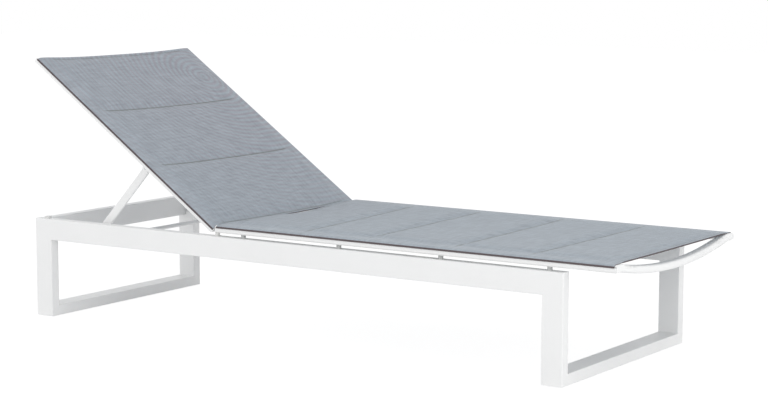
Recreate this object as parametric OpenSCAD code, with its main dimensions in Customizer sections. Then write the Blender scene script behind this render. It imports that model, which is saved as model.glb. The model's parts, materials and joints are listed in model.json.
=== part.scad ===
// Sun lounger with an adjustable back, on two sled legs.
// X runs from the head end to the foot end, Y across, Z up from the floor.
// The origin is on the floor, under the middle of the lounger as it stands with its back raised.

/* [Base frame] */
// Length of the base frame over its legs
base_length = 1745; // [1600:5:1900]
// Width of the base frame over its side rails
base_width = 678; // [600:2:760]
// Height of the side rails' top above the floor
rail_top = 287; // [260:1:340]
// Long side of the frame tube's section
tube_deep = 60; // [50:1:66]
// Short side of the frame tube's section
tube_thick = 30; // [28:1:34]
// Wall of the frame tube
tube_wall = 2; // [1.5:0.1:3]
// Corner radius of the frame tube
tube_round = 2; // [1:0.1:4]

/* [Seat frame] */
// Height of the gap between the side rails and the seat frame
spacer_h = 10; // [8:0.5:16]
// How far the seat frame lies inside the base frame on each side
seat_inset = 2; // [0:0.5:6]
// How far the seat frame reaches past the base frame's foot end
foot_overhang = 144; // [60:2:200]
// Width of the oval sling tube
sling_tube_w = 30; // [28:0.5:34]
// Height of the oval sling tube
sling_tube_h = 20; // [18:0.5:24]
// Corner radius of the oval sling tube
sling_tube_round = 8; // [7.5:0.1:9]
// Wall of the oval sling tube
sling_wall = 2; // [1.5:0.1:2.2]
// How far the bars between the sling tubes bow away from the sling
bar_bow = 30; // [15:1:40]

/* [Backrest] */
// Length of the backrest from its hinge axis
back_length = 772; // [700:2:800]
// Angle of the raised backrest over the seat
back_angle = 34.7; // [30:0.1:38]
// Steepest angle of the backrest
steepest_angle = 45; // [44:0.1:45.5]

/* [Prop] */
// Distance of the prop's pivot from the hinge axis, along the backrest
prop_pivot_along = 291.4; // [285:0.1:300]
// Distance of the prop's pivot under the middle of the backrest's tubes
prop_pivot_under = 24; // [23:0.1:28]
// Length of the prop from its pivot to the middle of its cross bar
prop_length = 299; // [295:0.1:303]
// Depth of the cross bar's middle under the side rails' top where the backrest is raised
prop_bar_under_rail = 53.6; // [50:0.1:58]
// Lower angle of the backrest at which the cross bar is as high as that again
prop_level_angle = 11.6; // [8:0.1:14]
// Width of the prop's flat arms
prop_arm_w = 24; // [20:0.5:26]
// Thickness of the prop's flat arms
prop_arm_t = 8; // [5:0.5:9]
// Diameter of the prop's cross bar
prop_bar_d = 12; // [10:0.5:14]
// Distance of the prop's racks from the head rail
rack_from_head_rail = 5.8; // [4:0.1:10]

/* [Slings] */
// Thickness of the bare sling fabric
sling_t = 2; // [1.2:0.1:3]
// Number of padded panels in the seat sling
seat_panels = 5; // [3:1:5]
// Number of padded panels in the back sling
back_panels = 3; // [2:1:4]
// Rise of each panel's padding over the fabric
pad_crown = 4; // [1:0.5:8]
// Swell of each panel's padding under the fabric
pad_belly = 3; // [1:0.5:6]
// Distance of the padding from the sling's side edges
pad_inset = 62; // [50:1:90]
// Sag of the seat sling in the middle
seat_sag = 2; // [0:0.5:8]
// Sag of the back sling in the middle
back_sag = 7; // [0:0.5:12]

/* [Hidden] */
$fn = 48;
// Small gap between pieces that are pushed together
seat_fit = 0.1;
// Gap round a pin that turns
running_fit = 0.05;
// Gap between a soft sling and what carries it
soft_gap = 0.3;
// Gap between faces that slide past each other
side_gap = 0.3;
// Length by which a cutting shape overruns the piece that it cuts
overrun = 5;

// Keder groove, in the outer shoulder of the sling tube
groove_angle = 22;
groove_depth = 4.4;
groove_r = 2.6;
groove_slit = 1.6;
groove_wall = 1.6;
keder_r = 2.2;
hem_angle = 14;

// Spacers, and the screws and threaded inserts through them
spacer_r = 6.5;
spacer_count = 4;
first_spacer_from_hinge = 104;
last_spacer_from_foot = 47;
hinge_spacer_r = 6.5;
hinge_spacer_past_end = 2;
screw_r = 3;
screw_head_r = 5;
screw_head_h = 5;
screw_hole_r = 6.5;
insert_r = 4.5;
insert_h = 12;

// Floor glides and bumpers
glide_r = 12;
glide_h = 2;
glide_peg_r = 4;
glide_peg_h = 6;
glide_from_side = 45;
bumper_l = 14;
bumper_w = 12;
bumper_h = 6.5;
bumper_peg_r = 3;
bumper_peg_h = 5;
bumper_from_head = 35;

// End caps and hinges
cap_t = 3;
cap_plug = 12;
hinge_gap = 17;
knuckle_reach = 12;
knuckle_plug = 30;
plate_t = 5;
plate_h = 12;
plate_l = 50;
hinge_pin_r = 4;
hinge_pin_depth = 22;
hinge_head_r = 6.5;
hinge_head_h = 4;
rivet_r = 2.5;
rivet_head_r = 4.5;
rivet_head_h = 1.5;
rivet_pitch = 18;
rivet_from_end = 22;

// Lugs and bolts of the prop
lug_t = 5;
lug_r = 11;
lug_l = 44;
lug_weld_h = 12;
washer_t = 1.5;
washer_r = 9;
prop_bolt_r = 4;
prop_bolt_head_r = 6.5;
prop_bolt_head_h = 3.5;
prop_arm_round = 3;
prop_bar_wall = 1.5;
bar_plug_t = 1.5;
bar_plug_l = 8;

// Racks on the inner faces of the side rails
rack_plate_t = 2.5;
rack_top_under_rail = 25;
rack_low_under_bar = 9.8;
rack_past_bar = 24;
rack_gap = 0.5;
rack_from_arm = 1.5;
shelf_steps = 18;
notch_depth = 2;
notch_angles = [18.5, 27.8, 34.7, 40.3, 44.9];
rack_screw_r = 2.5;
rack_screw_head_r = 4.5;
rack_screw_head_h = 2;
rack_screw_l = 12;
rack_screw_drop = 8;
rack_screw_inset = 22;
rack_screw_count = 3;

// Bowed bars: spare turn of their arc before it is cut to length, facets in a full turn of it,
// and how far the end bars' straight ends reach into it
bow_spare_turn = 1;
bow_facets = 720;
weld_lap = 2;
cross_past_plate = 5;
cross_mid_share = 0.5;
back_cross_along = 48;

// Slings
sling_from_cap = 5;
sling_from_foot = 7;
sling_from_top = 6;
back_sling_past_hinge = 1;
pad_roll = 24;
panel_step_shares = [0, 0.1, 0.3, 0.7, 0.9];
roll_shares = [0, 0.35, 1];
across_shares = [0.62, 0.3, 0];
shoulder_steps = 3;

// Places that follow from the sizes above
base_half = base_width / 2;
rail_in = base_half - tube_thick;
rail_y = base_half - tube_thick / 2;
seat_half = base_half - seat_inset;
seat_in = seat_half - sling_tube_w;
sling_tube_y = seat_half - sling_tube_w / 2;
half_h = sling_tube_h / 2;
shoulder_y = sling_tube_w / 2 - sling_tube_round;
shoulder_z = half_h - sling_tube_round;
seat_z = rail_top + spacer_h + half_h;
foot_reach = base_length + foot_overhang;
top_bar_along = back_length - sling_tube_w / 2;
prop_angle = level_slope(back_angle);
prop_ratio = 1 + (prop_angle - level_slope(prop_level_angle)) / (back_angle - prop_level_angle);
hinge_from_head = tube_thick + rack_from_head_rail + rack_past_bar + bar_behind(0);
corner_reach = shoulder_y * cos(back_angle) + shoulder_z * sin(back_angle) + sling_tube_round;
head_reach = hinge_from_head - top_bar_along * cos(back_angle) - bar_bow * sin(back_angle) - corner_reach;
head_x = -(foot_reach + min(head_reach, 0)) / 2;
foot_x = head_x + base_length;
seat_end = head_x + foot_reach;
hinge_x = head_x + hinge_from_head;
seat_start = hinge_x + hinge_gap;
seat_tube_start = seat_start + cap_t;
rear_tube_x = seat_start + plate_l + cross_past_plate + sling_tube_w / 2;
first_spacer = hinge_x + first_spacer_from_hinge;
spacer_pitch = (foot_x - last_spacer_from_foot - first_spacer) / (spacer_count - 1);
groove_y = shoulder_y + (sling_tube_round - groove_depth) * cos(groove_angle);
groove_z = shoulder_z + (sling_tube_round - groove_depth) * sin(groove_angle);
bumper_x = head_x + bumper_from_head;
bumper_along = hinge_x - bumper_x;
flattest_angle = -asin((spacer_h - bumper_h - side_gap) / bumper_along);
plate_out = seat_in - side_gap;
arm_out = seat_in - lug_t - washer_t - side_gap;
arm_in = arm_out - prop_arm_t;
rack_face = rail_in - rack_plate_t;
shelf_in = arm_out + rack_from_arm;
bar_half = rack_face - side_gap - bar_plug_t;

// Colours
frame_white = "#f2f2f2";
spacer_grey = "#8c8c8c";
light_nylon = "#cfcfcf";
bolt_steel = "#b8bcc0";
sling_grey = "#a3a9b1";
keder_dark = "#6e6a6c";
rubber_white = "#dedede";

// Flat outlines

module rounded_rect(w, h, r) {
    square([w, h - 2 * r], center = true);
    square([w - 2 * r, h], center = true);
    for (x = [-1, 1], y = [-1, 1])
        translate([x * (w / 2 - r), y * (h / 2 - r)]) circle(r);
}

module frame_tube_section(w, h) {
    difference() {
        rounded_rect(w, h, tube_round);
        square([w - 2 * tube_wall, h - 2 * tube_wall], center = true);
    }
}

// Hollow of the sling tube, smaller by a fit all round
module sling_cavity(fit) {
    difference() {
        rounded_rect(
            sling_tube_w - 2 * (sling_wall + fit),
            sling_tube_h - 2 * (sling_wall + fit),
            sling_tube_round - sling_wall - fit
        );
        translate([groove_y, groove_z]) circle(groove_r + groove_wall + fit);
    }
}

module sling_outline() {
    rounded_rect(sling_tube_w, sling_tube_h, sling_tube_round);
}

module keder_groove() {
    translate([groove_y, groove_z]) {
        circle(groove_r);
        rotate(groove_angle) translate([0, -groove_slit / 2])
            square([groove_depth + overrun, groove_slit]);
    }
}

module sling_tube_section() {
    difference() {
        sling_outline();
        sling_cavity(0);
        keder_groove();
    }
}

module bar_section() {
    difference() {
        rounded_rect(sling_tube_h, sling_tube_w, sling_tube_round);
        rounded_rect(
            sling_tube_h - 2 * sling_wall,
            sling_tube_w - 2 * sling_wall,
            sling_tube_round - sling_wall
        );
    }
}

// Placing

// Left pieces are drawn at +Y, and the right ones are their mirror image
module right_side() {
    mirror([0, 1, 0]) children();
}

module both_sides() {
    children();
    right_side() children();
}

// Pieces of the foot end are the mirror image of the head end's
module at_foot() {
    translate([head_x + foot_x, 0, 0]) mirror([1, 0, 0]) children();
}

module both_ends() {
    children();
    at_foot() children();
}

// Frame of the backrest: its hinge axis at the origin, the backrest along -X
module in_back() {
    translate([hinge_x, 0, seat_z]) rotate([0, back_angle, 0]) children();
}

// Frame of the prop: its pivot at the origin, its arms along -X
module in_prop() {
    translate([hinge_x - pivot_behind(back_angle), 0, seat_z + pivot_above(back_angle)])
        rotate([0, -prop_angle, 0]) children();
}

// A section in Y and Z, drawn along X from x0 to x1
module along_x(x0, x1) {
    translate([x0, 0, 0]) rotate([90, 0, 90]) linear_extrude(x1 - x0) children();
}

// An outline in X and Z, drawn along Y from y0 to y1
module along_y(y0, y1) {
    translate([0, y1, 0]) rotate([90, 0, 0]) linear_extrude(y1 - y0) children();
}

module rod_y(r, y0, y1) {
    translate([0, y0, 0]) rotate([-90, 0, 0]) cylinder(h = y1 - y0, r = r);
}

// Paths

// How far the prop's pivot is behind the hinge axis and above it, with the backrest at an angle
function pivot_behind(angle) = prop_pivot_along * cos(angle) + prop_pivot_under * sin(angle);
function pivot_above(angle) = prop_pivot_along * sin(angle) - prop_pivot_under * cos(angle);

// Slope at which the prop's cross bar lies at its depth with the backrest at an angle
function level_slope(angle) =
    asin((seat_z + pivot_above(angle) - rail_top + prop_bar_under_rail) / prop_length);

// Slope of the prop with the backrest at an angle: it turns at a steady ratio to the backrest
function prop_slope(angle) = prop_angle + (prop_ratio - 1) * (angle - back_angle);

// How far the prop's cross bar is behind the hinge axis, and its place in X and Z
function bar_behind(angle) = pivot_behind(angle) + prop_length * cos(prop_slope(angle));
function bar_place(angle) =
    [hinge_x - bar_behind(angle), seat_z + pivot_above(angle) - prop_length * sin(prop_slope(angle))];

bar_path = [
    for (i = [0 : shelf_steps])
        bar_place(flattest_angle + i * (steepest_angle - flattest_angle) / shelf_steps)
];
rack_x0 = bar_path[0][0] - rack_past_bar;
rack_x1 = bar_path[shelf_steps][0] + rack_past_bar;
rack_z0 = min([for (place = bar_path) place[1]]) - rack_low_under_bar;
rack_z1 = rail_top - rack_top_under_rail;

// Base frame

// Side rail: a tube along X, mitred into the legs
module side_rail() {
    color(frame_white) difference() {
        intersection() {
            translate([0, rail_y, rail_top - tube_deep / 2]) along_x(head_x, foot_x)
                frame_tube_section(tube_thick, tube_deep);
            along_y(rail_in - overrun, base_half + overrun) polygon([
                [head_x, rail_top],
                [foot_x, rail_top],
                [foot_x - tube_deep, rail_top - tube_deep],
                [head_x + tube_deep, rail_top - tube_deep]
            ]);
        }
        at_spacers() translate([0, 0, -tube_wall - overrun])
            cylinder(h = tube_wall + 2 * overrun, r = insert_r + seat_fit);
        translate([bumper_x, sling_tube_y, rail_top - bumper_peg_h - seat_fit])
            cylinder(h = bumper_peg_h + overrun, r = bumper_peg_r + seat_fit);
        for (x = rack_screw_places())
            translate([x, 0, rack_z1 - rack_screw_drop])
                rod_y(rack_screw_r + seat_fit, rail_in - overrun, rail_in + tube_wall + overrun);
    }
}

// Leg at the head end: a flat-standing tube, mitred into the rail above and the floor bar below
module leg() {
    color(frame_white) intersection() {
        translate([head_x + tube_deep / 2, rail_y, glide_h]) linear_extrude(rail_top - glide_h)
            frame_tube_section(tube_deep, tube_thick);
        along_y(rail_in - overrun, base_half + overrun) polygon([
            [head_x, glide_h],
            [head_x + tube_deep, glide_h],
            [head_x + tube_deep, rail_top - tube_deep],
            [head_x, rail_top]
        ]);
        along_x(head_x - overrun, head_x + tube_deep + overrun) polygon([
            [base_half, glide_h],
            [base_half, rail_top],
            [rail_in, rail_top],
            [rail_in, glide_h + tube_thick]
        ]);
    }
}

// Floor bar at the head end: a tube along Y that lies flat, mitred into both legs
module floor_bar() {
    color(frame_white) difference() {
        intersection() {
            translate([head_x + tube_deep / 2, 0, glide_h + tube_thick / 2])
                along_y(-base_half, base_half) frame_tube_section(tube_deep, tube_thick);
            along_x(head_x - overrun, head_x + tube_deep + overrun) polygon([
                [-base_half, glide_h],
                [base_half, glide_h],
                [rail_in, glide_h + tube_thick],
                [-rail_in, glide_h + tube_thick]
            ]);
        }
        both_sides() translate([head_x + tube_deep / 2, base_half - glide_from_side, 0])
            cylinder(h = glide_h + tube_wall + overrun, r = glide_peg_r + seat_fit);
    }
}

module head_rail() {
    color(frame_white) translate([head_x + tube_thick / 2, 0, rail_top - tube_deep / 2])
        along_y(-rail_in, rail_in) frame_tube_section(tube_thick, tube_deep);
}

// Plastic glide with a peg in the floor bar
module floor_glide() {
    color(spacer_grey) translate([head_x + tube_deep / 2, base_half - glide_from_side, 0]) {
        cylinder(h = glide_h, r = glide_r);
        cylinder(h = glide_h + glide_peg_h, r = glide_peg_r);
    }
}

// Rubber block on the rail that stops the backrest when it lies flat
module back_bumper() {
    color(rubber_white) translate([bumper_x, sling_tube_y, rail_top]) {
        translate([-bumper_l / 2, -bumper_w / 2, 0]) cube([bumper_l, bumper_w, bumper_h]);
        translate([0, 0, -bumper_peg_h]) cylinder(h = bumper_peg_h + bumper_h, r = bumper_peg_r);
    }
}

// Racks

function rack_screw_places() = [
    for (i = [0 : rack_screw_count - 1])
        rack_x0 + rack_screw_inset
            + i * (rack_x1 - rack_x0 - 2 * rack_screw_inset) / (rack_screw_count - 1)
];

// Top edge of the rack's shelf: the path of the cross bar's middle, moved down square to itself
shelf_edge = [
    for (i = [0 : shelf_steps])
        let (
            step = bar_path[min(i + 1, shelf_steps)] - bar_path[max(i - 1, 0)],
            along = step / norm(step)
        )
        bar_path[i] + (prop_bar_d / 2 + rack_gap) * [along[1], -along[0]]
];

// Rack: a plate on the rail's inner face with a notched shelf that holds the cross bar's end
module rack() {
    color(frame_white) difference() {
        union() {
            along_y(rack_face, rail_in) polygon([
                [rack_x0, rack_z0], [rack_x1, rack_z0], [rack_x1, rack_z1], [rack_x0, rack_z1]
            ]);
            along_y(shelf_in, rack_face) polygon(concat(
                [
                    [rack_x1, shelf_edge[shelf_steps][1]],
                    [rack_x1, rack_z0],
                    [rack_x0, rack_z0],
                    [rack_x0, shelf_edge[0][1]]
                ],
                shelf_edge
            ));
        }
        for (angle = notch_angles)
            translate([bar_place(angle)[0], 0, bar_place(angle)[1] - notch_depth])
                rod_y(prop_bar_d / 2 + rack_gap, shelf_in - overrun, rack_face);
        for (x = rack_screw_places())
            translate([x, 0, rack_z1 - rack_screw_drop])
                rod_y(rack_screw_r + seat_fit, rack_face - overrun, rail_in + overrun);
    }
}

module rack_screw() {
    color(bolt_steel) for (x = rack_screw_places())
        translate([x, 0, rack_z1 - rack_screw_drop]) {
            rod_y(rack_screw_head_r, rack_face - rack_screw_head_h, rack_face);
            rod_y(rack_screw_r, rack_face - rack_screw_head_h, rack_face + rack_screw_l);
        }
}

// Fixing of the seat frame

module at_spacers() {
    for (i = [0 : spacer_count - 1])
        translate([first_spacer + i * spacer_pitch, sling_tube_y, rail_top]) children();
}

module frame_spacer() {
    color(spacer_grey) at_spacers() difference() {
        cylinder(h = spacer_h, r = spacer_r);
        translate([0, 0, -overrun])
            cylinder(h = spacer_h + 2 * overrun, r = screw_r + seat_fit);
    }
}

// Spacer under the seat tube's end, which reaches a little way under the hinge
module hinge_spacer() {
    color(light_nylon) translate([seat_start - hinge_spacer_past_end, sling_tube_y, rail_top])
        cylinder(h = spacer_h, r = hinge_spacer_r);
}

// Screw down through the seat tube and the spacer, its head inside the tube
module frame_screw() {
    color(bolt_steel) at_spacers() translate([0, 0, -insert_h]) {
        cylinder(h = insert_h + spacer_h + sling_wall + screw_head_h, r = screw_r);
        translate([0, 0, insert_h + spacer_h + sling_wall])
            cylinder(h = screw_head_h, r = screw_head_r);
    }
}

// Threaded insert in the rail's top wall, which the screw goes into
module rail_insert() {
    color(bolt_steel) at_spacers() translate([0, 0, -insert_h]) difference() {
        cylinder(h = insert_h, r = insert_r);
        translate([0, 0, -overrun]) cylinder(h = insert_h + 2 * overrun, r = screw_r + seat_fit);
    }
}

// Sling frames

// Bar bowed away from the sling: an arc in the Y-Z plane between the sling tubes' inner faces
module cross_tube() {
    bow_r = (seat_in * seat_in + bar_bow * bar_bow) / (2 * bar_bow);
    half_turn = asin(seat_in / bow_r) + bow_spare_turn;
    color(frame_white) intersection() {
        translate([0, 0, bow_r - bar_bow]) rotate([0, 90, 0]) rotate([0, 0, -half_turn])
            rotate_extrude(angle = 2 * half_turn, $fn = bow_facets)
                translate([bow_r, 0]) bar_section();
        translate([-sling_tube_w, -seat_in, -bar_bow - sling_tube_h])
            cube([2 * sling_tube_w, 2 * seat_in, bar_bow + 2 * sling_tube_h]);
    }
}

// End bar: the same arc with straight ends, mitred into the side tubes' ends at +X
module end_bar() {
    cross_tube();
    color(frame_white) both_sides() intersection() {
        along_y(seat_in - weld_lap, seat_half) rotate(90) bar_section();
        translate([0, 0, -sling_tube_h]) linear_extrude(2 * sling_tube_h) polygon([
            [sling_tube_w / 2 + overrun, seat_half + overrun],
            [-sling_tube_w / 2 - overrun, seat_in - overrun],
            [sling_tube_w / 2 + overrun, seat_in - overrun]
        ]);
    }
}

// Sling tube from x0, cut square, to x1, mitred; the groove faces outwards
module sling_tube(x0, x1) {
    color(frame_white) intersection() {
        translate([0, sling_tube_y, 0]) along_x(x0, x1) sling_tube_section();
        translate([0, 0, -sling_tube_h]) linear_extrude(2 * sling_tube_h) polygon([
            [x0 - overrun, seat_in - overrun],
            [x1 - sling_tube_w - overrun, seat_in - overrun],
            [x1 + overrun, seat_half + overrun],
            [x0 - overrun, seat_half + overrun]
        ]);
    }
}

module seat_tube() {
    difference() {
        translate([0, 0, seat_z]) sling_tube(seat_tube_start, seat_end);
        at_spacers() {
            cylinder(h = spacer_h + sling_wall + overrun, r = screw_r + seat_fit);
            translate([0, 0, spacer_h + half_h]) cylinder(h = half_h + overrun, r = screw_hole_r);
        }
        translate([seat_start, 0, seat_z]) rivet_rods(rivet_r + seat_fit, plate_out, overrun);
    }
}

module seat_foot_bar() {
    translate([seat_end - sling_tube_w / 2, 0, seat_z]) end_bar();
}

module seat_mid_tube() {
    translate([rear_tube_x + cross_mid_share * (seat_end - rear_tube_x), 0, seat_z]) cross_tube();
}

module seat_rear_tube() {
    translate([rear_tube_x, 0, seat_z]) cross_tube();
}

module seat_end_cap() {
    color(frame_white) translate([0, sling_tube_y, seat_z]) {
        along_x(seat_start, seat_tube_start) sling_outline();
        along_x(seat_start, seat_tube_start + cap_plug) sling_cavity(seat_fit);
    }
}

// Hinge

module rivet_rods(r, y0, length) {
    for (i = [0, 1])
        translate([rivet_from_end + i * rivet_pitch, 0, 0]) rod_y(r, y0, seat_in + sling_wall + length);
}

// Plate on the seat tube's inner face that reaches past its end to the hinge axis
module hinge_plate() {
    color(frame_white) translate([0, 0, seat_z]) difference() {
        union() {
            translate([hinge_x, 0, 0]) rod_y(plate_h / 2, plate_out - plate_t, plate_out);
            translate([hinge_x, plate_out - plate_t, -plate_h / 2])
                cube([hinge_gap + plate_l, plate_t, plate_h]);
        }
        translate([hinge_x, 0, 0])
            rod_y(hinge_pin_r + seat_fit, plate_out - plate_t - overrun, plate_out + overrun);
        translate([seat_start, 0, 0])
            rivet_rods(rivet_r + seat_fit, plate_out - plate_t - overrun, overrun);
    }
}

// Shoulder bolt that the backrest's knuckle turns on
module hinge_bolt() {
    color(bolt_steel) translate([hinge_x, 0, seat_z]) {
        rod_y(hinge_head_r, plate_out - plate_t - hinge_head_h, plate_out - plate_t);
        rod_y(hinge_pin_r, plate_out - plate_t - hinge_head_h, seat_in + hinge_pin_depth);
    }
}

module hinge_rivet() {
    color(bolt_steel) translate([seat_start, 0, seat_z]) {
        rivet_rods(rivet_r, plate_out - plate_t, rivet_head_h);
        for (i = [0, 1])
            translate([rivet_from_end + i * rivet_pitch, 0, 0])
                rod_y(rivet_head_r, plate_out - plate_t - rivet_head_h, plate_out - plate_t);
    }
}

// Knuckle: a rounded end piece in the backrest tube's lower end, with the hinge bore
module hinge_knuckle() {
    color(frame_white) in_back() difference() {
        union() {
            intersection() {
                translate([0, sling_tube_y, 0]) along_x(-knuckle_reach, half_h) sling_outline();
                union() {
                    rod_y(half_h, seat_in, seat_half);
                    translate([-knuckle_reach, seat_in, -half_h])
                        cube([knuckle_reach, sling_tube_w, sling_tube_h]);
                }
            }
            translate([0, sling_tube_y, 0])
                along_x(-knuckle_reach - knuckle_plug, -knuckle_reach) sling_cavity(seat_fit);
        }
        rod_y(hinge_pin_r + running_fit, seat_in - overrun, seat_in + hinge_pin_depth + side_gap);
    }
}

// Backrest

module back_tube() {
    in_back() mirror([1, 0, 0]) sling_tube(knuckle_reach, back_length);
}

module back_top_bar() {
    in_back() translate([-top_bar_along, 0, 0]) mirror([1, 0, 0]) end_bar();
}

module back_cross_tube() {
    in_back() translate([-back_cross_along, 0, 0]) cross_tube();
}

// Prop

// Lug under the backrest tube's inner face that carries the prop's pivot
module prop_lug() {
    color(frame_white) in_back() difference() {
        union() {
            translate([-prop_pivot_along, 0, -prop_pivot_under]) rod_y(lug_r, seat_in - lug_t, seat_in);
            along_y(seat_in - lug_t, seat_in) polygon([
                [-prop_pivot_along - lug_r, -prop_pivot_under],
                [-prop_pivot_along + lug_r, -prop_pivot_under],
                [-prop_pivot_along + lug_l / 2, -half_h],
                [-prop_pivot_along + lug_l / 2, lug_weld_h - half_h],
                [-prop_pivot_along - lug_l / 2, lug_weld_h - half_h],
                [-prop_pivot_along - lug_l / 2, -half_h]
            ]);
        }
        translate([-prop_pivot_along, 0, -prop_pivot_under])
            rod_y(prop_bolt_r + seat_fit, seat_in - lug_t - overrun, seat_in + overrun);
    }
}

module prop_bolt() {
    color(bolt_steel) in_back() translate([-prop_pivot_along, 0, -prop_pivot_under]) {
        rod_y(prop_bolt_r, arm_in - side_gap, seat_in);
        rod_y(prop_bolt_head_r, arm_in - side_gap - prop_bolt_head_h, arm_in - side_gap);
    }
}

module prop_washer() {
    color(light_nylon) in_back() translate([-prop_pivot_along, 0, -prop_pivot_under]) difference() {
        rod_y(washer_r, seat_in - lug_t - washer_t, seat_in - lug_t);
        rod_y(prop_bolt_r + seat_fit, seat_in - lug_t - washer_t - overrun, seat_in);
    }
}

// Flat arm with round ends, from the pivot to the cross bar
module prop_arm() {
    color(frame_white) in_prop() difference() {
        intersection() {
            translate([0, (arm_in + arm_out) / 2, 0])
                along_x(-prop_length - prop_arm_w, prop_arm_w)
                    rounded_rect(prop_arm_t, prop_arm_w, prop_arm_round);
            union() {
                rod_y(prop_arm_w / 2, arm_in, arm_out);
                translate([-prop_length, 0, 0]) rod_y(prop_arm_w / 2, arm_in, arm_out);
                translate([-prop_length, arm_in, -prop_arm_w / 2])
                    cube([prop_length, prop_arm_t, prop_arm_w]);
            }
        }
        rod_y(prop_bolt_r + running_fit, arm_in - overrun, arm_out + overrun);
        translate([-prop_length, 0, 0])
            rod_y(prop_bar_d / 2 + running_fit, arm_in - overrun, arm_out + overrun);
    }
}

module prop_cross_bar() {
    color(frame_white) in_prop() translate([-prop_length, 0, 0]) difference() {
        rod_y(prop_bar_d / 2, -bar_half, bar_half);
        rod_y(prop_bar_d / 2 - prop_bar_wall, -bar_half - overrun, bar_half + overrun);
    }
}

module prop_bar_plug() {
    color(spacer_grey) in_prop() translate([-prop_length, 0, 0]) {
        rod_y(prop_bar_d / 2, bar_half, bar_half + bar_plug_t);
        rod_y(prop_bar_d / 2 - prop_bar_wall - seat_fit, bar_half - bar_plug_l, bar_half + bar_plug_t);
    }
}

// Slings

// Welt rod in the tube's groove, from x0 to x1
module keder_rod(x0, x1) {
    color(keder_dark)
        translate([0, sling_tube_y + groove_y, groove_z]) along_x(x0, x1) circle(keder_r);
}

// Height of a panel's padding, as a share: along the panel, and in from the padding's edge
function swell_along(t) = 1 - pow(abs(2 * t - 1), 4);
function swell_across(t) = 1 - pow(1 - t, 2);

// Half of the sling's section at one side: the wrap over the tube's shoulder
function wrap_points(radius) = [
    for (i = [0 : shoulder_steps])
        let (a = hem_angle + i * (90 - hem_angle) / shoulder_steps)
        [sling_tube_y + shoulder_y + radius * cos(a), shoulder_z + radius * sin(a)]
];

pad_half = seat_half - pad_inset;

// Places across the padding, with the share of its swell at each
pad_places = concat(
    [[sling_tube_y - shoulder_y, 0], [seat_in, 0]],
    [for (t = roll_shares) [pad_half - pad_roll * t, swell_across(t)]],
    [for (t = across_shares) [(pad_half - pad_roll) * t, 1]]
);

// One skin of the sling from the +Y hem to the -Y hem, at a place along a panel
function skin_points(radius, swell, sag) =
    let (
        wrap = wrap_points(radius),
        flat = [
            for (p = pad_places)
                [p[0], shoulder_z + radius + swell * p[1] - sag * max(0, 1 - pow(p[0] / seat_in, 2))]
        ],
        half = concat(wrap, flat)
    )
    concat(half, [for (i = [len(half) - 2 : -1 : 0]) [-half[i][0], half[i][1]]]);

// Padded sling from x0 to x1, in a frame that has the tubes' middle at z = 0
module sling(x0, x1, panels, sag) {
    panel_l = (x1 - x0) / panels;
    stations = concat(
        [for (k = [0 : panels - 1], t = panel_step_shares) [x0 + (k + t) * panel_l, swell_along(t)]],
        [[x1, 0]]
    );
    inner_r = sling_tube_round + soft_gap;
    rings = [
        for (s = stations) concat(
            [for (p = skin_points(inner_r + sling_t, pad_crown * s[1], sag)) [s[0], p[0], p[1]]],
            [for (p = skin_points(inner_r, -pad_belly * s[1], sag)) [s[0], p[0], p[1]]]
        )
    ];
    ring_n = len(rings[0]);
    skin_n = ring_n / 2;
    last = len(stations) - 1;
    // Number of a point: station, skin (0 outer, 1 inner) and place across
    function id(s, skin, j) = s * ring_n + skin * skin_n + j;
    // Two triangles for each square of the mesh
    function square_faces(a, b, c, d) = [[a, b, c], [a, c, d]];
    skins = [
        for (s = [0 : last - 1], j = [0 : skin_n - 2]) each concat(
            square_faces(id(s, 0, j), id(s + 1, 0, j), id(s + 1, 0, j + 1), id(s, 0, j + 1)),
            square_faces(id(s, 1, j + 1), id(s + 1, 1, j + 1), id(s + 1, 1, j), id(s, 1, j))
        )
    ];
    hems = [
        for (s = [0 : last - 1]) each concat(
            square_faces(id(s, 0, 0), id(s, 1, 0), id(s + 1, 1, 0), id(s + 1, 0, 0)),
            square_faces(
                id(s + 1, 0, skin_n - 1), id(s + 1, 1, skin_n - 1),
                id(s, 1, skin_n - 1), id(s, 0, skin_n - 1)
            )
        )
    ];
    ends = [
        for (j = [0 : skin_n - 2]) each concat(
            square_faces(id(0, 0, j), id(0, 0, j + 1), id(0, 1, j + 1), id(0, 1, j)),
            square_faces(id(last, 0, j), id(last, 1, j), id(last, 1, j + 1), id(last, 0, j + 1))
        )
    ];
    color(sling_grey) polyhedron(points = [for (r = rings) each r], faces = concat(skins, hems, ends));
}

module seat_sling() {
    translate([0, 0, seat_z])
        sling(seat_start + sling_from_cap, seat_end - sling_from_foot, seat_panels, seat_sag);
}

module back_sling() {
    in_back() sling(sling_from_top - back_length, back_sling_past_hinge, back_panels, back_sag);
}

module seat_keder_rods() {
    both_sides() translate([0, 0, seat_z])
        keder_rod(seat_start + sling_from_cap, seat_end - sling_from_foot);
}

module back_keder_rods() {
    both_sides() in_back() keder_rod(sling_from_top - back_length, -knuckle_reach);
}

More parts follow.
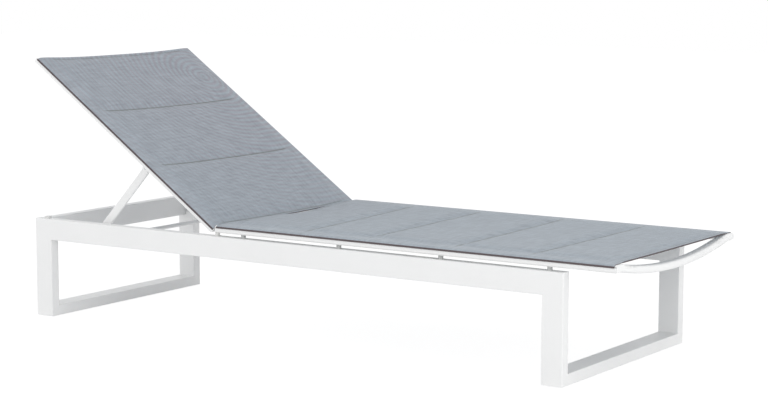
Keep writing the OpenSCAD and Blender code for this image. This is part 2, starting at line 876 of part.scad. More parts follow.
side_rail();  // side_rail_left
right_side() side_rail();  // side_rail_right
leg();  // leg_head_left
right_side() leg();  // leg_head_right
at_foot() leg();  // leg_foot_left
at_foot() right_side() leg();  // leg_foot_right
floor_bar();  // floor_bar_head
at_foot() floor_bar();  // floor_bar_foot
head_rail();
both_ends() both_sides() floor_glide();  // floor_glides
rack();  // rack_left
right_side() rack();  // rack_right
both_sides() rack_screw();  // rack_screws
both_sides() back_bumper();  // back_bumpers
both_sides() frame_spacer();  // frame_spacers
both_sides() hinge_spacer();  // hinge_spacers
both_sides() frame_screw();  // frame_screws
both_sides() rail_insert();  // rail_inserts
seat_tube();  // seat_tube_left
right_side() seat_tube();  // seat_tube_right
seat_foot_bar();
seat_mid_tube();
seat_rear_tube();
both_sides() seat_end_cap();  // seat_end_caps
hinge_plate();  // hinge_plate_left
right_side() hinge_plate();  // hinge_plate_right
both_sides() hinge_bolt();  // hinge_bolts
both_sides() hinge_rivet();  // hinge_rivets
seat_keder_rods();
seat_sling();
back_tube();  // back_tube_left
right_side() back_tube();  // back_tube_right
back_top_bar();
back_cross_tube();
both_sides() hinge_knuckle();  // hinge_knuckles
both_sides() prop_lug();  // prop_lugs
both_sides() prop_bolt();  // prop_bolts
both_sides() prop_washer();  // prop_washers
back_keder_rods();
back_sling();
prop_arm();  // prop_arm_left
right_side() prop_arm();  // prop_arm_right
prop_cross_bar();
both_sides() prop_bar_plug();  // prop_bar_plugs
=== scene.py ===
import bmesh, bpy, json, math
from mathutils import Matrix, Vector


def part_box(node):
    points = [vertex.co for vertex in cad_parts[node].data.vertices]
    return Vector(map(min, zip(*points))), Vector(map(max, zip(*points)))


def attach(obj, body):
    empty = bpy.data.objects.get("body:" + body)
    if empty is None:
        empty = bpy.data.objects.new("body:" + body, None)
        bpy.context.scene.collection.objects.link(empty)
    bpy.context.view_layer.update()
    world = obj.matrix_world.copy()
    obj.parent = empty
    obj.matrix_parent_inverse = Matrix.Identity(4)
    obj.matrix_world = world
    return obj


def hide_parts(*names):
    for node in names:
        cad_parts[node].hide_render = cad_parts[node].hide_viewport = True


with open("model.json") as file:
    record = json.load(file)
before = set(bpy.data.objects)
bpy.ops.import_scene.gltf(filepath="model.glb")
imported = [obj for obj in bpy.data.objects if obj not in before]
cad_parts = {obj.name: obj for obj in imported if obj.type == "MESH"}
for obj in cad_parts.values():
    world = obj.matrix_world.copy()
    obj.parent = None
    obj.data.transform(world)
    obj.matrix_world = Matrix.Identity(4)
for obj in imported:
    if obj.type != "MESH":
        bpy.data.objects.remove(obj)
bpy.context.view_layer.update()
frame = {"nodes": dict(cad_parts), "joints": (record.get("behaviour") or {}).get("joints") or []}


# Camera: the near side and the foot end from a little above, taken from far
# off with a long lens, so that the long tubes converge only slightly.

camera_data = bpy.data.cameras.new("studio_camera")
camera_data.sensor_width = 36
camera_data.lens = 94.02
camera = bpy.data.objects.new("studio_camera", camera_data)
camera.location = (3.1204, -4.5691, 1.08)
# How far the camera looks down, leans over and is turned to its left, in degrees
look_down = 7.539
lean_over = -0.067
turn_left = 33.893
camera.rotation_euler = (
    math.radians(90 - look_down), math.radians(lean_over), math.radians(turn_left),
)
bpy.context.scene.collection.objects.link(camera)
bpy.context.scene.camera = camera
bpy.context.scene.view_settings.view_transform = "Standard"


# Studio floor: a pale matt sweep, which bounces light up at the lounger. The
# camera sees it lit up to near white, with a weak soft shadow left on it.

def linear(hex_colour):
    """An sRGB hex colour as linear red, green, blue and alpha"""
    shares = [int(hex_colour[i:i + 2], 16) / 255 for i in (1, 3, 5)]
    return [c / 12.92 if c <= 0.04045 else ((c + 0.055) / 1.055) ** 2.4 for c in shares] + [1]


def new_material(name):
    """A material with no nodes yet"""
    material = bpy.data.materials.new(name)
    material.use_nodes = True
    material.node_tree.nodes.clear()
    return material


def add_node(material, kind, inputs=(), **settings):
    """Adds a shader node. inputs gives each socket, by name or number, its value or its link"""
    node = material.node_tree.nodes.new("ShaderNode" + kind)
    for setting, value in settings.items():
        setattr(node, setting, value)
    for socket, value in dict(inputs).items():
        if isinstance(value, bpy.types.NodeSocket):
            material.node_tree.links.new(value, node.inputs[socket])
        else:
            node.inputs[socket].default_value = value
    return node


def seen_directly(owner):
    """1 where the camera looks, also by a mirror or through glass, and 0 for light on its way"""
    ray = add_node(owner, "LightPath").outputs
    seen_or_mirrored = add_node(
        owner, "Math", {0: ray["Is Camera Ray"], 1: ray["Is Glossy Ray"]}, operation="MAXIMUM"
    )
    return add_node(
        owner, "Math", {0: seen_or_mirrored.outputs[0], 1: ray["Is Transmission Ray"]},
        operation="MAXIMUM",
    ).outputs[0]


def new_piece(name, shape, *materials):
    """Makes an object of the scene from a bmesh, with its materials"""
    mesh = bpy.data.meshes.new(name)
    shape.to_mesh(mesh)
    shape.free()
    for material in materials:
        mesh.materials.append(material)
    piece = bpy.data.objects.new(name, mesh)
    bpy.context.scene.collection.objects.link(piece)
    return piece


floor_paint = new_material("matt_white_studio_floor")
lit_floor = add_node(floor_paint, "BsdfDiffuse", {"Color": linear("#f8f8f8")})
glow = add_node(floor_paint, "Emission", {"Color": linear("#ffffff"), "Strength": 0.93})
shadow_part = add_node(floor_paint, "BsdfDiffuse", {"Color": linear("#6e6e6e")})
shown = add_node(floor_paint, "AddShader", {0: glow.outputs[0], 1: shadow_part.outputs[0]})
floor_mix = add_node(
    floor_paint, "MixShader", {0: seen_directly(floor_paint), 1: lit_floor.outputs[0], 2: shown.outputs[0]}
)
add_node(floor_paint, "OutputMaterial", {"Surface": floor_mix.outputs[0]})

# Half the width of the floor, in metres
floor_half = 14
sweep = bmesh.new()
bmesh.ops.create_grid(sweep, x_segments=1, y_segments=1, size=floor_half)
new_piece("studio_floor", sweep, floor_paint)


# Studio light: a white room, a weak soft box over the lounger and stronger
# ones off its foot end, its near side and its head end.

world = bpy.data.worlds.new("white_studio")
bpy.context.scene.world = world
world.use_nodes = True
world.node_tree.nodes.clear()
room_light = add_node(world, "Background", {"Color": linear("#fcfdff"), "Strength": 0.68})
room_shown = add_node(world, "Background", {"Color": linear("#ffffff"), "Strength": 1.0})
room_mix = add_node(
    world, "MixShader", {0: seen_directly(world), 1: room_light.outputs[0], 2: room_shown.outputs[0]}
)
add_node(world, "OutputWorld", {"Surface": room_mix.outputs[0]})


def soft_box(name, place, target, width, height, power):
    """A rectangular lamp, turned from its place to its target. Lengths in metres, power in watts"""
    light_data = bpy.data.lights.new(name, "AREA")
    light_data.shape = "RECTANGLE"
    light_data.size = width
    light_data.size_y = height
    light_data.energy = power
    light = bpy.data.objects.new(name, light_data)
    light.location = place
    light.rotation_euler = (Vector(target) - Vector(place)).to_track_quat("-Z", "Y").to_euler()
    bpy.context.scene.collection.objects.link(light)


soft_box("overhead_soft_box", place=(0.2, -0.2, 3.2), target=(0, 0, 0), width=4.0, height=3.0, power=12)
soft_box("foot_soft_box", place=(4.2, -1.6, 1.5), target=(0.4, 0, 0.2), width=2.4, height=2.2, power=52)
soft_box("near_soft_box", place=(-0.6, -4.4, 1.6), target=(-0.2, 0, 0.25), width=3.6, height=2.0, power=22)
soft_box("head_soft_box", place=(-4.2, -1.2, 1.8), target=(-0.4, 0, 0.2), width=2.4, height=2.2, power=30)


# Base frame: 60 x 30 mm aluminium tube, welded at the mitres and ground. Like
# the oval tubes with their caps, the prop with its lugs, the racks and the
# hinge, it is powder-coated white, satin with a faint orange peel.

# A millimetre, in the frame's metres
MM = 0.001
powder_white = new_material("powder_coated_aluminium")
coat_place = add_node(powder_white, "TexCoord").outputs["Object"]
# The ripple of the coat is about 1.5 mm across; it is drawn at 4 mm, so that it shows
peel_size = 4 * MM
peel = add_node(
    powder_white, "TexNoise",
    {"Vector": coat_place, "Scale": 1 / peel_size, "Detail": 2.0, "Roughness": 0.5},
)
cloud_size = 160 * MM
cloud = add_node(powder_white, "TexNoise", {"Vector": coat_place, "Scale": 1 / cloud_size, "Detail": 3.0})
# In a colour mix, socket 0 is the share of the second colour, and 6 and 7 are the two colours
coat_colour = add_node(
    powder_white, "Mix", {0: cloud.outputs[0], 6: linear("#efefee"), 7: linear("#f5f5f4")},
    data_type="RGBA",
)
coat_gloss = add_node(
    powder_white, "MapRange",
    {"Value": peel.outputs[0], "From Min": 0.3, "From Max": 0.7, "To Min": 0.38, "To Max": 0.48},
)
coat_bump = add_node(
    powder_white, "Bump", {"Strength": 0.25, "Distance": 0.12 * MM, "Height": peel.outputs[0]}
)
coat = add_node(
    powder_white, "BsdfPrincipled",
    {
        "Base Color": coat_colour.outputs[2], "Roughness": coat_gloss.outputs[0],
        "IOR": 1.5, "Normal": coat_bump.outputs[0],
    },
)
add_node(powder_white, "OutputMaterial", {"Surface": coat.outputs[0]})


def finish_nodes(material, *names):
    """Gives each of these frame nodes one material"""
    for name in names:
        materials = frame["nodes"][name].data.materials
        materials.clear()
        materials.append(material)


finish_nodes(
    powder_white,
    "side_rail_left", "side_rail_right", "leg_head_left", "leg_head_right", "leg_foot_left",
    "leg_foot_right", "floor_bar_head", "floor_bar_foot", "head_rail", "rack_left", "rack_right",
    "seat_tube_left", "seat_tube_right", "seat_foot_bar", "seat_mid_tube", "seat_rear_tube",
    "seat_end_caps", "hinge_plate_left", "hinge_plate_right", "back_tube_left", "back_tube_right",
    "back_top_bar", "back_cross_tube", "hinge_knuckles", "prop_lugs", "prop_arm_left",
    "prop_arm_right", "prop_cross_bar",
)


# Glides, spacers and bar plugs: moulded polyamide, light grey, or natural
# white at the hinge and the prop. The bumpers are moulded rubber. The fine
# grain of the spark-eroded moulds dulls them all a little.

def grained(name, pale, dark, roughness, grain_size):
    """Plastic, rubber or yarn whose grain runs between a pale and a dark colour"""
    material = new_material(name)
    place = add_node(material, "TexCoord").outputs["Object"]
    grain = add_node(material, "TexNoise", {"Vector": place, "Scale": 1 / grain_size, "Detail": 4.0})
    colour = add_node(
        material, "Mix", {0: grain.outputs[0], 6: linear(dark), 7: linear(pale)}, data_type="RGBA"
    )
    bump = add_node(
        material, "Bump", {"Strength": 0.4, "Distance": 0.1 * MM, "Height": grain.outputs[0]}
    )
    shader = add_node(
        material, "BsdfPrincipled",
        {
            "Base Color": colour.outputs[2], "Roughness": roughness, "IOR": 1.53,
            "Normal": bump.outputs[0],
        },
    )
    add_node(material, "OutputMaterial", {"Surface": shader.outputs[0]})
    return material


# The moulds' grain is about 0.2 mm wide; it is drawn at 1.2 to 1.5 mm, so that it shows
grey_polyamide = grained(
    "moulded_grey_polyamide", pale="#c2c3c2", dark="#b2b3b2", roughness=0.55, grain_size=1.2 * MM
)
finish_nodes(grey_polyamide, "floor_glides", "frame_spacers", "prop_bar_plugs")
white_polyamide = grained(
    "moulded_natural_polyamide", pale="#e6e6e4", dark="#dcdcd9", roughness=0.42, grain_size=1.5 * MM
)
finish_nodes(white_polyamide, "hinge_spacers", "prop_washers")
pale_rubber = grained(
    "moulded_pale_rubber", pale="#e6e6e4", dark="#dadad8", roughness=0.6, grain_size=1.5 * MM
)
finish_nodes(pale_rubber, "back_bumpers")


# Screws, bolts, rivets and threaded inserts: turned stainless steel, satin,
# with the fine rings that the lathe leaves.

turned_steel = new_material("turned_stainless_steel")
steel_place = add_node(turned_steel, "TexCoord").outputs["Object"]
# Length after which a wave texture repeats at a scale of 1
wave_length = 0.314
# The lathe's feed is about 0.2 mm; its rings are drawn 1.58 mm apart, so that they show
ring_pitch = 1.58 * MM
rings = add_node(
    turned_steel, "TexWave",
    {"Vector": steel_place, "Scale": wave_length / ring_pitch, "Distortion": 1.0},
    wave_type="RINGS", rings_direction="Y",
)
steel_gloss = add_node(
    turned_steel, "MapRange", {"Value": rings.outputs[1], "To Min": 0.26, "To Max": 0.38}
)
steel_bump = add_node(
    turned_steel, "Bump", {"Strength": 0.15, "Distance": 0.05 * MM, "Height": rings.outputs[1]}
)
steel = add_node(
    turned_steel, "BsdfPrincipled",
    {
        "Base Color": linear("#c9cbcd"), "Metallic": 1.0, "Roughness": steel_gloss.outputs[0],
        "Normal": steel_bump.outputs[0],
    },
)
add_node(turned_steel, "OutputMaterial", {"Surface": steel.outputs[0]})
finish_nodes(
    turned_steel,
    "rack_screws", "frame_screws", "rail_inserts", "hinge_bolts", "hinge_rivets", "prop_bolts",
)


# Keder rods: cords of extruded PVC in the side hems of the cloth, which hold
# it in the tubes' grooves. They are dark brown-grey and half matt.

dark_pvc = grained(
    "extruded_dark_pvc", pale="#524a4b", dark="#463f40", roughness=0.5, grain_size=2.0 * MM
)
finish_nodes(dark_pvc, "seat_keder_rods", "back_keder_rods")


# Sling fabric: two layers of mesh, woven of PVC-coated polyester yarns, with
# thin wadding between them, sewn across into panels. The yarns look blue-grey,
# pale where they cross and darker between.

sling_cloth = new_material("woven_polyester_mesh")
cloth_place = add_node(sling_cloth, "UVMap", uv_map="cloth").outputs[0]
# The real threads lie 1 mm apart; they are drawn 3 mm apart, so that they show
thread_pitch = 3.0 * MM


def threads(direction):
    """Bands of round threads that run square to a direction of the cloth"""
    return add_node(
        sling_cloth, "TexWave",
        {"Vector": cloth_place, "Scale": wave_length / thread_pitch, "Distortion": 0.6, "Detail": 0.0},
        wave_type="BANDS", bands_direction=direction, wave_profile="SIN",
    ).outputs[1]


def uneven_yarns(run_along, run_across):
    """Faint streaks of thicker and thinner yarns, by their size along the cloth and across it"""
    stretched = add_node(
        sling_cloth, "Mapping", {"Vector": cloth_place, "Scale": (1 / run_along, 1 / run_across, 1)}
    )
    return add_node(
        sling_cloth, "TexNoise", {"Vector": stretched.outputs[0], "Scale": 1.0, "Detail": 3.0}
    ).outputs[0]


weave = add_node(sling_cloth, "Math", {0: threads("X"), 1: threads("Y")}, operation="MULTIPLY")
streak_length = 71.4 * MM
streak_width = 8.333 * MM
streaks = add_node(
    sling_cloth, "Math",
    {0: uneven_yarns(streak_length, streak_width), 1: uneven_yarns(streak_width, streak_length)},
    operation="ADD",
)
streak_share = add_node(
    sling_cloth, "MapRange",
    {"Value": streaks.outputs[0], "From Min": 0.75, "From Max": 1.25, "To Min": 0.0, "To Max": 1.0},
)
thread_colour = add_node(
    sling_cloth, "Mix", {0: weave.outputs[0], 6: linear("#98a2aa"), 7: linear("#bbc6cf")},
    data_type="RGBA",
)
streaked = add_node(
    sling_cloth, "Mix",
    {0: streak_share.outputs[0], 6: linear("#e4e3e4"), 7: linear("#ffffff")}, data_type="RGBA",
)
cloth_colour = add_node(
    sling_cloth, "Mix", {0: 1.0, 6: thread_colour.outputs[2], 7: streaked.outputs[2]},
    data_type="RGBA", blend_type="MULTIPLY",
)
# The two meshes lie one over the other, which gives faint watered rings on the tight back.
# They are pinkish and pale in turn, and strongest near the back's far top corner
ring_centre = (-0.62, 0.26, 0)
ring_step = 19 * MM
pale_ring_gain = (1.03, 1.035, 1.035, 1)
from_centre = add_node(sling_cloth, "VectorMath", {0: cloth_place, 1: ring_centre}, operation="SUBTRACT")
watered_rings = add_node(
    sling_cloth, "TexWave",
    {
        "Vector": from_centre.outputs[0], "Scale": wave_length / ring_step, "Distortion": 5.0,
        "Detail": 2.0, "Detail Scale": 0.12,
    },
    wave_type="RINGS", rings_direction="Z",
)
ring_reach = add_node(
    sling_cloth, "VectorMath", {0: cloth_place, 1: ring_centre}, operation="DISTANCE"
)
ring_strength = add_node(
    sling_cloth, "MapRange",
    {"Value": ring_reach.outputs[1], "From Min": 0.25, "From Max": 1.0, "To Min": 1.0, "To Max": 0.15},
)
ring_tint = add_node(
    sling_cloth, "Mix",
    {0: watered_rings.outputs[1], 6: linear("#fbecee"), 7: pale_ring_gain}, data_type="RGBA",
)
watered_cloth = add_node(
    sling_cloth, "Mix",
    {0: ring_strength.outputs[0], 6: cloth_colour.outputs[2], 7: ring_tint.outputs[2]},
    data_type="RGBA", blend_type="MULTIPLY",
)
# Without wadding behind it the mesh looks paler, because the white tube shows through
unpadded_gain = (1.16, 1.14, 1.12, 1)
unpadded = add_node(sling_cloth, "Attribute", attribute_name="unpadded").outputs["Fac"]
lit_cloth = add_node(
    sling_cloth, "Mix", {0: unpadded, 6: watered_cloth.outputs[2], 7: unpadded_gain},
    data_type="RGBA", blend_type="MULTIPLY",
)
# Painted shade: each sewn line is darkened in the cloth's colour, for the shadow in the crease where the
# stitches pull the two meshes together
painted_seam_shade = add_node(sling_cloth, "Attribute", attribute_name="painted_seam_shade").outputs["Fac"]
seam_shaded_cloth = add_node(
    sling_cloth, "Mix", {0: painted_seam_shade, 6: lit_cloth.outputs[2], 7: linear("#6a6e68")},
    data_type="RGBA",
)
weave_bump = add_node(
    sling_cloth, "Bump", {"Strength": 0.5, "Distance": 0.3 * MM, "Height": weave.outputs[0]}
)
cloth_shader = add_node(
    sling_cloth, "BsdfPrincipled",
    {
        "Base Color": seam_shaded_cloth.outputs[2], "Roughness": 0.72, "IOR": 1.45, "Sheen Weight": 0.15,
        "Normal": weave_bump.outputs[0],
    },
)
add_node(sling_cloth, "OutputMaterial", {"Surface": cloth_shader.outputs[0]})

# Binding and edge tapes are woven and the sewing thread is twisted, all of polyester and matt. The dark
# binding also paints shade: in the grooves' mouths, and under the hems at the ends.
# Their yarns are about 0.5 mm thick; they are drawn at 0.8 to 1.2 mm, so that they show
binding_and_painted_shade = grained(
    "woven_dark_binding_and_painted_shade", pale="#5d5254", dark="#4a4143", roughness=0.75, grain_size=1.2 * MM
)
sewing_thread = grained(
    "twisted_sewing_thread", pale="#7c8078", dark="#6c7068", roughness=0.7, grain_size=0.8 * MM
)

# Shape of the tube that the sling wraps over, from the seat's tube
tube_low, tube_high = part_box("seat_tube_left")
shoulder_round = 8 * MM
shoulder_y = tube_high.y - shoulder_round
shoulder_z = (tube_high.z - tube_low.z) / 2 - shoulder_round
tube_in = tube_low.y
# Gaps from the tube to the cloth's upper and under side. The cloth's side hems end at an
# angle in degrees over the middle of the tube
skin_out = 2.0 * MM
skin_in = 0.3 * MM
hem_angle = 14
wrap_steps = 5
# Swelling of the panels before the wadding is filled, and how softly it starts
margin_fade = 28 * MM
seam_roll = 45 * MM
pad_crown = 2.2 * MM
pad_belly = 2.5 * MM
# Rounding of the hems, depth of the first end's binding, pull of the stitches, and how softly
# an end bends out that reaches past its place
hem_roll = 0.5 * MM
first_depth = 1.0 * MM
stitch_pull = 0.9 * MM
reach_fade = 33 * MM
# A point that swells by less than this share of the most stays where it is as the wadding fills
held_below = 0.02
# Distances between the mesh's rows and columns
row_step = 10 * MM
column_step = 12 * MM
stitch_gap = 3 * MM


def across(distance, gap):
    """Place across and height of the cloth at a flat distance from its middle, gap over the tube"""
    side = math.copysign(1, distance)
    past = abs(distance) - shoulder_y
    if past <= 0:
        return distance, shoulder_z + shoulder_round + gap
    turn = min(past / (shoulder_round + skin_out), math.pi / 2)
    radius = shoulder_round + gap
    return side * (shoulder_y + radius * math.sin(turn)), shoulder_z + radius * math.cos(turn)


def cloth_columns():
    """Flat distances across the cloth from its middle to its side hems"""
    wrap = math.radians(90 - hem_angle) * (shoulder_round + skin_out)
    steps = round(shoulder_y / column_step)
    half = [shoulder_y * i / steps for i in range(steps + 1)]
    half += [shoulder_y + wrap * i / wrap_steps for i in range(1, wrap_steps + 1)]
    return [-c for c in reversed(half[1:])] + half


def cloth_rows(stops):
    """Distances along the cloth: even rows, and three close ones at each line of stitches"""
    rows = []
    for a, b in zip(stops, stops[1:]):
        first = a + (stitch_gap if a != stops[0] else 0)
        last = b - (stitch_gap if b != stops[-1] else 0)
        steps = max(2, round((last - first) / row_step))
        rows += [first + (last - first) * i / steps for i in range(steps + 1)]
        if b != stops[-1]:
            rows.append(b)
    return rows


def smooth_step(t):
    """Rises softly from 0 to 1 as t does"""
    t = max(0, min(1, t))
    return t * t * (3 - 2 * t)


def make_sling(name, ends, hems, seams, leans, pad_half, sag_at, reach_at, binding_shade_depth, paleness,
               seam_shades, seam_shade_half, place):
    """Closed double cloth between its two ends. hems gives the width of the hem at each end, seams
    the sewn lines at the middle of the cloth, leans how far they run off over the padding's half
    width, sag_at how low the cloth hangs, reach_at how far its last end reaches past its place,
    binding_shade_depth how deep the dark rim of that end is, a binding that also paints the shade
    under the hem, paleness how light the margins look, seam_shades how dark the painted shade
    along each sewn line is and seam_shade_half how far across it goes"""
    stops = [ends[0], ends[0] + hems[0]] + seams + [ends[1] - hems[1], ends[1]]
    slants = [0, 0] + leans + [0, 0]
    seam_shade_share = [0] + seam_shades + [0]
    rows = cloth_rows(stops)
    columns = cloth_columns()
    last_row, last_column = len(rows) - 1, len(columns) - 1

    # Upper and under side start as grids from -1 to 1, one over the other at heights 1 and 0
    between_sides = 0.5
    outermost = 0.999
    cloth = bmesh.new()
    for height in (1, 0):
        bmesh.ops.create_grid(
            cloth, x_segments=last_row, y_segments=last_column, size=1,
            matrix=Matrix.Translation((0, 0, height)),
        )
    under_faces = [f for f in cloth.faces if f.verts[0].co.z < between_sides]
    bmesh.ops.reverse_faces(cloth, faces=under_faces)
    bmesh.ops.bridge_loops(cloth, edges=[e for e in cloth.edges if e.is_boundary])
    flat_map = cloth.loops.layers.uv.new("cloth")
    seam_shade_layer = cloth.verts.layers.float.new("painted_seam_shade")
    margin_layer = cloth.verts.layers.float.new("unpadded")
    held_layer = cloth.verts.layers.deform.verify()
    for face in cloth.faces:
        face.smooth = True
        # The rims of the last end and of the sides take the dark binding, which also paints the shade
        # under the hems and in the grooves
        rim = len({v.co.z > between_sides for v in face.verts}) > 1
        middle = face.calc_center_median()
        bound = rim and (middle.x > outermost or abs(middle.y) > outermost)
        face.material_index = 1 if bound else 0
        for loop in face.loops:
            row = round((loop.vert.co.x + 1) / 2 * last_row)
            column = round((loop.vert.co.y + 1) / 2 * last_column)
            loop[flat_map].uv = (rows[row], columns[column])
    for v in cloth.verts:
        along = rows[round((v.co.x + 1) / 2 * last_row)]
        distance = columns[round((v.co.y + 1) / 2 * last_column)]
        top = v.co.z > between_sides
        k = max(i for i in range(len(stops) - 1) if stops[i] <= along)
        share = (along - stops[k]) / (stops[k + 1] - stops[k])
        sewn = share in (0, 1) and along not in ends
        in_hem = k in (0, len(stops) - 2)
        edge = tube_in if in_hem else pad_half
        inside = smooth_step((edge - abs(distance)) / margin_fade)
        from_seam = min(along - stops[k], stops[k + 1] - along)
        hem = hems[0] if k == 0 else hems[1]
        rise = 1 - (1 - min(1, from_seam / (hem / 2 if in_hem else seam_roll))) ** 2
        swell = inside * rise
        y, z = across(distance, skin_out if top else skin_in)
        if abs(distance) < shoulder_y:
            z -= sag_at(along, distance)
            if along in ends:
                depth = binding_shade_depth if along == ends[1] else first_depth
                z += hem_roll * inside if top else -depth * inside
            elif in_hem:
                z += (hem_roll if top else -first_depth) * swell
            else:
                z += (pad_crown if top else -pad_belly) * swell
        if sewn:
            z -= (stitch_pull if top else -stitch_pull / 2) * inside
        # Painted shade along each sewn line, on the upper side, fading out towards the sides
        seam_shade_fade = smooth_step((seam_shade_half - abs(distance)) / column_step)
        v[seam_shade_layer] = seam_shade_share[k] * seam_shade_fade if sewn and top else 0.0
        v[margin_layer] = paleness * (1 - smooth_step((edge - abs(distance)) / margin_fade))
        v[held_layer][0] = 1.0 if swell < held_below or in_hem else 0.0
        slant = (slants[k] * (1 - share) + slants[k + 1] * share) * max(-1, min(1, distance / pad_half))
        reach = reach_at(distance) * smooth_step((along - ends[1] + reach_fade) / reach_fade)
        v.co = (along + slant + reach, y, z)
    piece = new_piece(name, cloth, sling_cloth, binding_and_painted_shade)
    piece.vertex_groups.new(name="held")
    fill_wadding(piece)
    piece.data.transform(place)
    rounded = piece.modifiers.new("round_over", "SUBSURF")
    rounded.levels = 1
    rounded.render_levels = 1
    return piece


def fill_wadding(piece, most=3.5 * MM):
    """Fills the wadding by a short cloth simulation, which moves no point further than most, and
    keeps its result in the mesh"""
    fill_steps = 20
    scene = bpy.context.scene
    padding = piece.modifiers.new("padding", "CLOTH")
    padding.settings.quality = 5
    padding.settings.mass = 0.25
    padding.settings.tension_stiffness = 25
    padding.settings.compression_stiffness = 25
    padding.settings.bending_stiffness = 0.6
    padding.settings.use_pressure = True
    padding.settings.uniform_pressure_force = 4
    padding.settings.shrink_min = -0.012
    padding.settings.vertex_group_mass = "held"
    padding.settings.effector_weights.gravity = 0
    padding.collision_settings.use_collision = False
    padding.point_cache.frame_start = 1
    padding.point_cache.frame_end = fill_steps
    for step in range(1, fill_steps + 1):
        scene.frame_set(step)
    filled = piece.evaluated_get(bpy.context.evaluated_depsgraph_get())
    places = [v.co.copy() for v in filled.data.vertices]
    for v, now in zip(piece.data.vertices, places):
        shift = now - v.co
        if shift.length > most:
            shift *= most / shift.length
        v.co += shift
    piece.modifiers.remove(padding)
    scene.frame_set(1)


def make_tapes_and_groove_shade(name, ends, place):
    """Dark tapes over the groove's mouth on both sides, which hold the keder rods in the hem. Their dark
    colour also paints the shade in the groove's mouth. They lie round the tube's shoulder between two
    angles in degrees over its middle"""
    tape_lap = 0.35 * MM
    tape_thickness = 1.2 * MM
    low_angle = 8
    high_angle = 36
    arc_steps = 7
    length_steps = 40
    radius = shoulder_round + skin_out + tape_lap
    tape = bmesh.new()
    for side in (-1, 1):
        made = bmesh.ops.create_grid(tape, x_segments=length_steps, y_segments=arc_steps, size=1)
        for v in made["verts"]:
            along = ends[0] + (v.co.x + 1) / 2 * (ends[1] - ends[0])
            angle = math.radians(low_angle + (v.co.y + 1) / 2 * (high_angle - low_angle))
            v.co = (
                along, side * (shoulder_y + radius * math.cos(angle)),
                shoulder_z + radius * math.sin(angle),
            )
    for face in tape.faces:
        face.smooth = True
        face.normal_update()
        if face.normal.y * face.calc_center_median().y < 0:
            face.normal_flip()
    tape.transform(place)
    piece = new_piece(name, tape, binding_and_painted_shade)
    wall = piece.modifiers.new("tape_thickness", "SOLIDIFY")
    wall.thickness = tape_thickness
    wall.offset = -1
    return piece


def make_stitches(name, ends, hems, seams, leans, pad_half, sag_at, place):
    """Lock stitches along the hems and the seams, each a small swelling of the thread"""
    stitch_length = 3.6 * MM
    stitch_width = 0.9 * MM
    stitch_pitch = 5 * MM
    sunk_share = 0.7
    lines = [(row, 0, tube_in - margin_fade) for row in (ends[0] + hems[0], ends[1] - hems[1])]
    lines += [(seam, lean, pad_half - margin_fade / 2) for seam, lean in zip(seams, leans)]
    thread = bmesh.new()
    for seam, lean, half in lines:
        count = round(2 * half / stitch_pitch)
        for i in range(count + 1):
            y = half * (2 * i / count - 1)
            height = shoulder_z + shoulder_round + skin_out - stitch_pull * sunk_share - sag_at(seam, y)
            centre = Vector((seam + lean * y / pad_half, y, height))
            size = Matrix.Diagonal((stitch_width / 2, stitch_length / 2, stitch_width / 2, 1))
            bmesh.ops.create_icosphere(
                thread, subdivisions=1, radius=1, matrix=Matrix.Translation(centre) @ size
            )
    thread.transform(place)
    return new_piece(name, thread, sewing_thread)


# Seat sling: five padded panels between the seat's tubes. The seams follow
# the run that the real cloth has, and both ends are folded back and sewn.

# Lengths along both slings are counted from the backrest's hinge, which is the first joint
hinge = Vector(frame["joints"][0]["pos_m"])
seat_place = Matrix.Translation(hinge)
seat_ends = (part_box("seat_sling")[0].x - hinge.x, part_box("seat_sling")[1].x - hinge.x)
seat_hems = (11 * MM, 11 * MM)
# Each seam's place at the middle, and how far it runs off over the padding's half width
seat_seams = [273 * MM, 490 * MM, 755.4 * MM, 993 * MM]
seat_leans = [-21.6 * MM, -10.6 * MM, -8.7 * MM, 3.9 * MM]
seat_pad_half = 294 * MM
# The foot end's dark rim is made deep, so that its binding also paints the shade under the hem
seat_binding_shade_depth = 4.0 * MM
seat_paleness = 0.6
# How dark the painted shade along each sewn line is, and how far across it goes
seat_seam_shades = [0.35, 0.8, 0.8, 0.8, 0.8, 0.35]
seat_seam_shade_half = 306 * MM
# The rear end is loose and dips towards its far side, and the foot end is pulled up taut
seat_hang = 1 * MM
rear_dip = 8 * MM
rear_dip_length = 60 * MM
rear_dip_centre = 75 * MM
rear_dip_half = 125 * MM
foot_lift = 2.5 * MM
foot_lift_length = 60 * MM


def seat_sag(along, distance):
    """How low the seat's cloth hangs"""
    bow = max(0, 1 - (distance / tube_in) ** 2)
    dip = rear_dip * math.exp(-(along - seat_ends[0]) / rear_dip_length)
    dip *= math.exp(-((distance - rear_dip_centre) / rear_dip_half) ** 2)
    between = smooth_step((tube_in - abs(distance)) / margin_fade)
    near_foot = smooth_step((along - seat_ends[1] + foot_lift_length) / foot_lift_length)
    return (seat_hang + dip) * bow - foot_lift * between * near_foot


def seat_reach(distance):
    """The seat's foot end runs straight across"""
    return 0


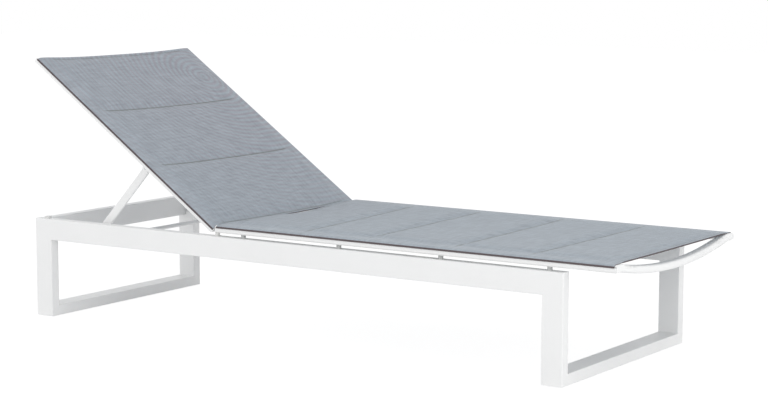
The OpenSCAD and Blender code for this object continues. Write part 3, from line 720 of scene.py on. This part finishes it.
seat_cloth = make_sling(
    "seat_sling_cloth", seat_ends, seat_hems, seat_seams, seat_leans, seat_pad_half, seat_sag, seat_reach,
    seat_binding_shade_depth, seat_paleness, seat_seam_shades, seat_seam_shade_half, seat_place,
)
seat_tapes = make_tapes_and_groove_shade("seat_edge_tapes_and_groove_shade", seat_ends, seat_place)
seat_stitches = make_stitches(
    "seat_stitches", seat_ends, seat_hems, seat_seams, seat_leans, seat_pad_half, seat_sag, seat_place
)
for piece, slot in ((seat_cloth, "sling_mesh"), (seat_tapes, "keder_cord"), (seat_stitches, "sling_mesh")):
    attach(piece, "base")
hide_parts("seat_sling")


# Back sling: three padded panels on the raised backrest, tight at the sides
# and hanging a little between the tubes. Its lower corners reach over the
# tubes' knuckles, past the hinge.

# Slope of the raised back, in degrees
back_angle = 34.7
back_place = Matrix.Translation(hinge) @ Matrix.Rotation(math.radians(back_angle), 4, "Y")
back_seams = [-508.9 * MM, -260.0 * MM]
back_leans = [1.8 * MM, 1.3 * MM]
back_ends = (-766 * MM, 1 * MM)
back_hems = (11 * MM, 6 * MM)
back_pad_half = 306 * MM
# The lower end's dark rim, whose binding also paints the shade under the hem
back_binding_shade_depth = 3.0 * MM
back_paleness = 0.35
# How dark the painted shade along each sewn line is, and how far across it goes
back_seam_shades = [0.35, 0.85, 0.85, 0.6]
back_seam_shade_half = 297 * MM
back_hang = 7.5 * MM
# The lower end curls down a little, and its corners reach past it
corner_reach = 8 * MM
end_curl = 0.5 * MM
curl_length = 9 * MM


def back_sag(along, distance):
    """How low the back's cloth hangs, with its lower end curled down"""
    between = smooth_step((tube_in - abs(distance)) / margin_fade)
    curl = end_curl * between * smooth_step((along - back_ends[1] + curl_length) / curl_length)
    return back_hang * max(0, 1 - abs(distance / tube_in) ** 3) + curl


def back_reach(distance):
    """The corners of the back's lower end reach past it, over the tubes"""
    return corner_reach * smooth_step((abs(distance) - tube_in) / (shoulder_y - tube_in))


back_cloth = make_sling(
    "back_sling_cloth", back_ends, back_hems, back_seams, back_leans, back_pad_half, back_sag, back_reach,
    back_binding_shade_depth, back_paleness, back_seam_shades, back_seam_shade_half, back_place,
)
back_tapes = make_tapes_and_groove_shade("back_edge_tapes_and_groove_shade", (back_ends[0], back_ends[1] + corner_reach), back_place)
back_stitches = make_stitches(
    "back_stitches", back_ends, back_hems, back_seams, back_leans, back_pad_half, back_sag, back_place
)
for piece, slot in ((back_cloth, "sling_mesh"), (back_tapes, "keder_cord"), (back_stitches, "sling_mesh")):
    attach(piece, "backrest")
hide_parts("back_sling")
